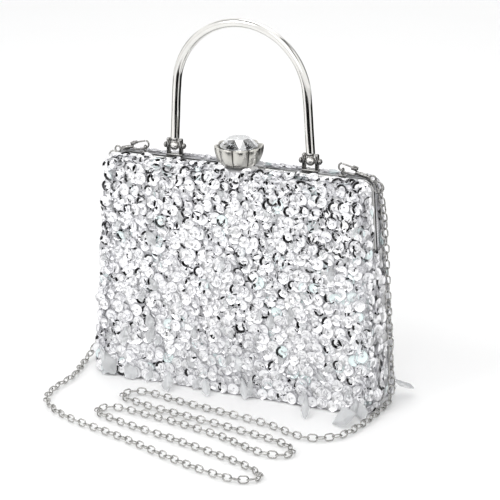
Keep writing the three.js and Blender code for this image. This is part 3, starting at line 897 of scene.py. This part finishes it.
def scatter(sites, vertices, jitter, tilt, lift, keep=1.0, droop=0.0):
    """Copies of a sequin on the sites, jittered, tilted at random and kept above the floor."""
    sites = [site for site in sites if not near_knob(site[0])]
    placed, shades, glints = [], [], []
    for k in np.nonzero(rng.random(len(sites)) < keep)[0]:
        place, normal = np.asarray(sites[k][0], float), np.asarray(sites[k][1], float)
        across, down = beside_and_down(normal)
        swing = np.clip(rng.normal(0, tilt, 2), -TILT_LIMIT * tilt, TILT_LIMIT * tilt)
        facing = unit(normal + across * math.tan(swing[0]) + down * math.tan(swing[1] + droop))
        # turns the sequin's +X, where a painted dark glint sits, about the same way on every sequin
        spin = math.pi + rng.normal(0, GLINT_SPREAD)
        first = across * math.cos(spin) + down * math.sin(spin)
        first = unit(first - facing * np.dot(first, facing))
        turn = np.stack([first, np.cross(facing, first), facing])
        shift = across * rng.uniform(-jitter, jitter) + down * rng.uniform(-jitter, jitter)
        centre = place + shift + normal * rng.uniform(*lift)
        points = vertices @ turn * rng.uniform(*SEQUIN_SIZES) + centre
        placed.append(above_floor(points, SEQUIN_FLOOR_GAP))
        shades.append(rng.random())
        glints.append(rng.integers(1, 4) if rng.random() < glint_chance(place, normal) else 0)
    return placed, shades, glints


def sequin_layers(side):
    """The layers of one half: their sites, and how loosely the sequins sit there."""
    loose_walls = wall_sites(side, LOOSE_WALL_PITCH)
    if side > 0:
        loose_walls = [site for site in loose_walls if site[1][2] < 0.6]
    loose_face = face_sites(side, LOOSE_FACE_PITCH)
    return (
        (face_sites(side, FACE_PITCH), dict(jitter=0.9, tilt=0.08, lift=(0.2, 0.5), droop=0.02)),
        (loose_face, dict(jitter=2.2, tilt=0.13, lift=(0.7, 1.3), droop=0.03, keep=0.9)),
        (wall_sites(side, WALL_PITCH), dict(jitter=0.8, tilt=0.12, lift=(0.1, 0.5))),
        (loose_walls, dict(jitter=1.8, tilt=0.24, lift=(0.6, 1.2), keep=0.7)),
        (overhang_sites(side, OVERHANG_PITCH), dict(jitter=1.0, tilt=0.2, lift=(0.5, 1.4), keep=0.85)),
    )


def keep_on_faces(piece, name, values):
    stored = piece.data.attributes.new(name, "FLOAT", "FACE")
    stored.data.foreach_set("value", values)


def add_sequins(half, side):
    vertices, faces = sequin_template()
    faces = np.asarray(faces)
    zones = [sequin_zones(glint) for glint in range(4)]
    for number, (sites, manner) in enumerate(sequin_layers(side), 1):
        placed, shades, glints = scatter(sites, vertices, **manner)
        starts = np.arange(len(placed)) * len(vertices)
        all_faces = (faces[None] + starts[:, None, None]).reshape(-1, 4).tolist()
        shape = (np.concatenate(placed), all_faces)
        name = f"{half}_sequins_{number}"
        piece = make_piece(name, shape, FILM, f"{half}_half", smooth=False)
        keep_on_faces(piece, "shade", np.repeat(shades, len(faces)))
        keep_on_faces(piece, "zone", np.concatenate([zones[glint] for glint in glints]))


# ================================================================ clear drops
def drop_template(length, width, thickness):
    """A faceted leaf hanging from its narrow top: long axis down -Y, thickness along Z."""
    outline_points = ((0.0, 0.0), (0.55, -0.3), (1.0, -0.62), (0.5, -0.88), (0.0, -1.0))
    right = [(width / 2 * x, length * y) for x, y in outline_points]
    left = [(-x, y) for x, y in right[1:-1]][::-1]
    edge = [(x, y, 0.0) for x, y in right + left]
    ridge = ((0, -0.3 * length), (0, -0.66 * length))
    top = [(x, y, thickness / 2) for x, y in ridge]
    bottom = [(x, y, -thickness / 2) for x, y in ridge]
    return hull(np.array(edge + top + bottom))


def hull(points):
    """Flat facets round a set of points."""
    mesh = bmesh.new()
    for point in points:
        mesh.verts.new(point)
    bmesh.ops.convex_hull(mesh, input=mesh.verts)
    bmesh.ops.dissolve_limit(mesh, angle_limit=0.01, verts=mesh.verts, edges=mesh.edges)
    bmesh.ops.recalc_face_normals(mesh, faces=mesh.faces)
    mesh.verts.index_update()
    vertices = np.array([v.co[:] for v in mesh.verts])
    faces = [tuple(v.index for v in f.verts) for f in mesh.faces]
    mesh.free()
    return vertices, faces


def hang_drops(sites, templates, lift, sway):
    parts = []
    for place, normal in sites:
        vertices, faces = templates[rng.integers(len(templates))]
        normal = np.asarray(normal, float)
        level = unit(np.cross((0, 0, 1.0), normal))
        lean = rng.normal(0, sway)
        up = np.cross(normal, level)
        across = level * math.cos(lean) + up * math.sin(lean)
        facing = normal + level * rng.normal(0, 0.25) + up * rng.normal(0, 0.2)
        facing = unit(facing - across * np.dot(facing, across))
        turn = np.stack([across, np.cross(facing, across), facing])
        points = vertices @ turn + np.asarray(place) + normal * rng.uniform(*lift)
        parts.append((above_floor(points, SEQUIN_FLOOR_GAP), faces))
    return parts


def leaf_between(top, tip, width, thickness):
    """A faceted leaf from its sewn top to its free tip, its flat side turned up and outwards."""
    top, tip = np.array(top, float), np.array(tip, float)
    length = np.linalg.norm(tip - top)
    vertices, faces = drop_template(length, width, thickness)
    down = (tip - top) / length
    facing = np.array([0.0, math.copysign(0.75, top[1]), 0.65])
    facing = unit(facing - down * np.dot(facing, down))
    points = vertices @ np.stack([np.cross(-down, facing), -down, facing]) + top
    return above_floor(points, LEAF_FLOOR_GAP), faces


def bottom_leaf(side, x):
    """A small leaf at random, sewn near the bottom edge and resting with its tip on the floor."""
    x += rng.uniform(-5, 5)
    top = (x, side * (depth_at(12) + 1.5), rng.uniform(8, 14))
    tip = (x + rng.uniform(-5, 5), side * (depth_at(0) + rng.uniform(4, 7.5)), 0.8)
    return leaf_between(top, tip, rng.uniform(5, 7.5), 2.2)


def add_drops(half, side):
    large = [drop_template(13, 8, 3), drop_template(11, 6.5, 2.6), drop_template(15, 7, 3)]
    small = [drop_template(7, 4.5, 2.2), drop_template(5.5, 5, 2.4)]
    face = face_sites(side, 4.6)
    picks = rng.choice(len(face), 70, replace=False)
    scattered = [face[i] for i in picks if 16 < face[i][0][2] < 138]
    parts = hang_drops(scattered[::4], large, (1.6, 2.4), 0.5)
    parts += hang_drops([s for i, s in enumerate(scattered) if i % 4], small, (1.4, 2.4), 0.7)
    parts += [leaf_between(*leaf) for leaf in (FRONT_LEAVES if side < 0 else REAR_LEAVES)]
    parts += [bottom_leaf(side, x) for x in np.linspace(-88, 88, 6)]
    make_piece(f"{half}_drops", merge(parts), RESIN, f"{half}_half", smooth=False)


# ================================================================ handle
def handle_line():
    legs = (HANDLE_START_Z, (HANDLE_START_Z + ARCH_CENTRE_Z) / 2)

    def leg_x(z):
        return ARCH_RADIUS + (HANDLE_X - ARCH_RADIUS) * (ARCH_CENTRE_Z - z) / (ARCH_CENTRE_Z - HANDLE_START_Z)

    points = [(-leg_x(z), MOUNT_Y, z) for z in legs]
    for angle in np.radians(np.arange(180, -1, -15)):
        points.append((ARCH_RADIUS * math.cos(angle), MOUNT_Y, ARCH_CENTRE_Z + ARCH_RADIUS * math.sin(angle)))
    points += [(leg_x(z), MOUNT_Y, z) for z in reversed(legs)]
    return catmull_rom(points, 2.0)


def add_handle():
    tube = swept(handle_line(), HANDLE_RADIUS, 32, cap=())
    make_piece("handle_bar", tube, METAL, "handle", "handle_tube")
    ball = [(math.sqrt(EYE_RADIUS**2 - a**2), a) for a in np.linspace(-EYE_HALF, EYE_HALF, 15)]
    neck = [(1.8, PIVOT_Z), (1.8, 159.8), (2.4, 160.4), (2.4, 161.0)]
    for name, x in (("left", -HANDLE_X), ("right", HANDLE_X)):
        eye = merge([spun(ball, "x", (x, MOUNT_Y, PIVOT_Z)), spun(neck, "z", (x, MOUNT_Y, 0))])
        make_piece(f"{name}_eye", eye, METAL, "handle", f"{name}_handle_eye")
        add_fork(name, x)


def prong(x, y, z):
    """An upright bar of oval section with a domed top."""
    cos, sin = circle(28)
    middle, half = ((x[0] + x[1]) / 2, (y[0] + y[1]) / 2), ((x[1] - x[0]) / 2, (y[1] - y[0]) / 2)
    rings = []
    for share, height in ((1, z[0]), (1, z[1] - 1.2), (0.93, z[1] - 0.6), (0.7, z[1] - 0.15), (0.35, z[1])):
        across, along = share * half[0] * cos, share * half[1] * np.sign(sin) * np.abs(sin) ** 0.7
        rings.append(np.stack([middle[0] + across, middle[1] + along, np.full(len(cos), height)], axis=1))
    return loft(rings)


def add_fork(name, x):
    y = (MOUNT_Y - FORK_HALF_DEPTH, MOUNT_Y + FORK_HALF_DEPTH)
    fork = merge([
        box_rings((x - FORK_HALF, x + FORK_HALF), y, (FOOT, FOOT + 2.0), 0.4),
        prong((x - FORK_HALF, x - FORK_INNER), y, (FOOT + 1.2, FORK_TOP)),
        prong((x + FORK_INNER, x + FORK_HALF), y, (FOOT + 1.2, FORK_TOP)),
    ])
    make_piece(f"{name}_fork_polished", fork, FITTING_METAL, "rear_half", f"{name}_fork")
    button = [(0.5, 1.9), (1.2, 1.75), (1.8, 1.25), (2.0, 0.6), (2.0, 0.0)]
    middle = (x, MOUNT_Y, PIVOT_Z)
    pin = merge([
        spun(rounded_bar(PIN_RADIUS, -6.2, 6.2, 0.1), "x", middle),
        spun([(radius, -6.0 - out) for radius, out in button], "x", middle),
        spun([(radius, 6.0 + out) for radius, out in reversed(button)], "x", middle),
    ])
    make_piece(f"{name}_pin", pin, FITTING_METAL, "rear_half", f"{name}_handle_pin")


# ================================================================ clasp
def lobe_angles():
    return 2 * np.pi * np.arange(CUP_SIDES) / CUP_SIDES


def lobed_ring(radius, z, depth, scallop):
    """One ring of the cup: depth is how deep its flutes are, scallop how high its petals rise."""
    petal = np.abs(np.cos(CUP_LOBES * lobe_angles() / 2)) ** 0.7
    swell = radius * (1 + depth * (petal - 0.7))
    angles = lobe_angles() + CUP_TURN
    x, y = swell * np.cos(angles), KNOB_Y + swell * np.sin(angles)
    return np.stack([x, y, z + scallop * (petal - 0.7)], axis=1)


def groove_ring(depth):
    """1 in the valley between two petals and 0 elsewhere, fading out where the flutes are shallow."""
    valley = np.abs(np.cos(CUP_LOBES * lobe_angles() / 2)) < 0.08
    return np.where(valley, min(1, depth / 0.1), 0)


def add_cup():
    """Eight fluted petals over a hollow skirt, with a bowl that holds the crystal."""
    foot, floor, rim = CUP_FOOT_Z, CUP_FLOOR_Z, CUP_RIM_Z
    # radius, height and depth of the flutes
    profile = (
        (1.2, CUP_CEILING_Z, 0), (10.1, CUP_CEILING_Z, 0), (10.1, foot + 0.1, 0), (10.3, foot, 0),
        (10.9, foot, 0.04), (11.3, foot + 0.25, 0.05), (12.3, foot + 1.3, 0.09), (13.1, foot + 2.6, 0.12),
        (13.7, foot + 4, 0.14), (14.4, foot + 6, 0.16), (14.9, foot + 8, 0.17), (15.2, foot + 10, 0.17),
        (15.3, rim - 0.4, 0.17), (15.0, rim, 0.16), (14.6, rim - 0.15, 0.15), (14.2, rim - 0.8, 0.11),
        (12.2, floor + 4, 0.08), (9.0, floor + 2, 0.05), (3.0, floor, 0), (1.2, floor, 0),
    )
    rings = []
    for radius, z, depth in profile:
        scallop = max(0.0, (z - foot - 8) / (rim - foot - 8)) if radius > 14 else 0.0
        rings.append(lobed_ring(radius, z, depth, 1.1 * scallop))
    skin = loft(rings, looped=True)
    cup = make_piece("tulip_cup", skin, PETAL_METAL, "clasp", "clasp_cup")
    groove = cup.data.attributes.new("groove", "FLOAT", "POINT")
    groove.data.foreach_set("value", np.concatenate([groove_ring(depth) for _, _, depth in profile]))


def add_crystal():
    """A fancy-cut stone: table, eight long facets that point down with eight between, and a pavilion."""
    girdle_radius = 12.6
    girdle = CUP_RIM_Z - 0.3
    # number of corners, share of the girdle's radius, height, and turn in corners
    levels = (
        (8, 0.56, CRYSTAL_TOP_Z, 0.5), (8, 0.99, girdle + 0.5, 0.0), (16, 1.0, girdle, 0.0),
        (16, 0.98, girdle - 0.7, 0.0), (8, 0.5, girdle - 3.6, 0.5), (8, 0.14, CUP_FLOOR_Z + 1, 0.0),
    )
    points = []
    for count, share, z, turn in levels:
        radius = share * girdle_radius
        for angle in 2 * np.pi * (np.arange(count) + turn) / count + CRYSTAL_TURN:
            points.append((radius * math.cos(angle), KNOB_Y + radius * math.sin(angle), z))
    stone = hull(np.array(points))
    make_piece("cut_crystal", stone, CRYSTAL, "clasp", "clasp_crystal", smooth=False)


# ================================================================ hooks
def hook_points(side, shape):
    """A shape in the hook's own frame (u outwards, w up) as one on the bag, with the hook's tilt."""
    points, faces = shape
    u, v, w = points[:, 0], points[:, 1], points[:, 2]
    x = u * math.cos(HOOK_TILT) + w * math.sin(HOOK_TILT)
    z = -u * math.sin(HOOK_TILT) + w * math.cos(HOOK_TILT)
    return np.stack([side * (LUG_X + x), MOUNT_Y + v, LUG_Z + z], axis=1), faces


def hook_body():
    """Wire loop, turned stem with a barrel, end ring, and two cheeks that hold the gate's pin."""
    bend = [
        (8.3, 0, 4.1), (8.9, 0, 2.4), (8.2, 0, 0.6), (6, 0, 0), (-0.4, 0, 0),
        (-2.6, 0, 0.7), (-3.4, 0, 2.4), (-2.9, 0, 4.1), (-2.1, 0, 4.8),
    ]
    stem = [
        (0.6, 8.6), (1.0, 9.0), (1.25, 10.2), (0.8, 11.0), (1.4, 11.6),
        (1.4, 16.8), (0.8, 17.4), (1.1, 18.2), (0.7, 18.7),
    ]
    return merge([
        swept(catmull_rom(bend, 0.5), HOOK_WIRE, 14),
        spun(stem, "x", (0, 0, 2.4), 20),
        torus((HOOK_EYE_U, 0, 2.4), 2.0, HOOK_WIRE, "y"),
        box_rings((5.4, 9.2), (-1.7, -1.2), (3.6, ARM_SPACING + 0.9), 0.2),
        box_rings((5.4, 9.2), (1.2, 1.7), (3.6, ARM_SPACING + 0.9), 0.2),
        box_rings((8.0, 9.2), (-1.7, 1.7), (3.6, ARM_SPACING + 0.2), 0.2),
        spun(rounded_bar(0.5, -1.9, 1.9, 0.1), "y", (GATE_PIVOT_U, 0, ARM_SPACING), 12),
    ])


def add_hook(name, side):
    body = hook_points(side, hook_body())
    make_piece(f"{name}_hook", body, FITTING_METAL, "rear_half", f"{name}_snap_hook")
    gate = hook_points(side, merge([
        spun(rounded_bar(1.0, -0.9, 0.9, 0.15), "y", (GATE_PIVOT_U, 0, ARM_SPACING), 20),
        spun(rounded_bar(HOOK_WIRE, -1.2, 6.0, 0.2), "x", (0, 0, ARM_SPACING), 14),
    ]))
    gate_body = f"{name}_hook_gate"
    make_piece(f"{name}_sprung_gate", gate, FITTING_METAL, gate_body, f"{name}_gate")
    x = side * LUG_X
    lug = merge([
        torus((x, MOUNT_Y, LUG_Z), 1.8, 0.5, "x"),
        box_rings((x - 2.6, x + 2.6), (MOUNT_Y - 1.8, MOUNT_Y + 1.8), (FOOT, FOOT + 0.6), 0.2),
        box_rings((x - 0.6, x + 0.6), (MOUNT_Y - 0.9, MOUNT_Y + 0.9), (FOOT + 0.4, LUG_Z - 1.5), 0.2),
    ])
    make_piece(f"{name}_ring_lug", lug, FITTING_METAL, "rear_half", f"{name}_lug")


# ================================================================ gussets and pocket
def add_gusset(name, side):
    """A satin fan, folded shut between the rims."""
    low, high = GUSSET_Z
    rows = np.linspace(low, high, 30)
    columns = np.linspace(-1, 1, 8 * GUSSET_FOLDS + 1)
    points = []
    for z in rows:
        depth = 2.0 + 3.4 * (z - low) / (high - low)
        for column in columns:
            fold = math.cos(math.pi * GUSSET_FOLDS * column) * 0.9
            points.append((side * (half_width(z) - 6.5 + fold), column * depth, z))
    shape = (points, grid_faces(len(columns), len(rows)))
    fan = make_piece(f"{name}_satin_fan", shape, SATIN, None, f"{name}_gusset")
    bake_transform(fan)


def add_pocket():
    """A thin satin pouch on the rear lining, its free top edge sagging open a little."""
    slope = (BOTTOM_DEPTH - TOP_DEPTH) / HEIGHT
    low, high = POCKET_Z
    middle = (low + high) / 2
    wall = depth_at(middle) - LINING_INSET - LINING_THICKNESS + COVER_INSET - 0.6
    columns, rows = np.linspace(-POCKET_HALF, POCKET_HALF, 27), np.linspace(low, high, 16)
    back, front = [], []
    for z in rows:
        for x in columns:
            y = wall - (z - middle) * slope
            sag = 0.35 * math.sin(math.pi * (x + POCKET_HALF) / (2 * POCKET_HALF)) * (z - low) / (high - low)
            back.append((x, y, z))
            front.append((x, y - 1.0 - sag, z))
    wide, tall = len(columns), len(rows)
    count = wide * tall
    faces = grid_faces(wide, tall)
    faces += [(count + a, count + d, count + c, count + b) for a, b, c, d in faces]
    edge = list(range(wide)) + [r * wide + wide - 1 for r in range(1, tall)]
    edge += [(tall - 1) * wide + c for c in range(wide - 2, -1, -1)]
    edge += [r * wide for r in range(tall - 2, 0, -1)]
    faces += [(b, a, a + count, b + count) for a, b in zip(edge, edge[1:] + edge[:1])]
    pouch = make_piece("satin_pocket", (back + front, faces), SATIN, "rear_half", "inner_pocket")


# ================================================================ frame parts that stay as they are
BARE_METAL = (
    "rear_hinge_leaf", "front_hinge_leaf", "hinge_pin", "clasp_bracket", "clasp_pin", "clasp_spring",
    "clasp_lever", "cup_screw", "catch_plate",
)


def dress_frame():
    for name in ("front_shell", "rear_shell"):
        dress(name, BOARD)
    for name in BARE_METAL:
        dress(name, METAL)


def dress(name, material):
    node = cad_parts[name]
    node.data.materials.clear()
    node.data.materials.append(material)
    bevel = node.modifiers.new("broken_edges", "BEVEL")
    bevel.width = 0.12 * MM
    bevel.segments = 2
    bevel.limit_method = "ANGLE"


# ================================================================ build
bpy.context.scene.view_settings.view_transform = "Standard"
add_camera()
add_floor()
add_world()
add_cards()
add_lights()
add_chain()
for half, side in (("front", -1), ("rear", 1)):
    rim_piece(half, side)
    cover_piece(half, side)
    lining_piece(half, side)
    add_sequins(half, side)
    add_drops(half, side)
add_handle()
add_cup()
add_crystal()
for name, side in (("left", -1), ("right", 1)):
    add_hook(name, side)
    add_gusset(name, side)
add_pocket()
dress_frame()
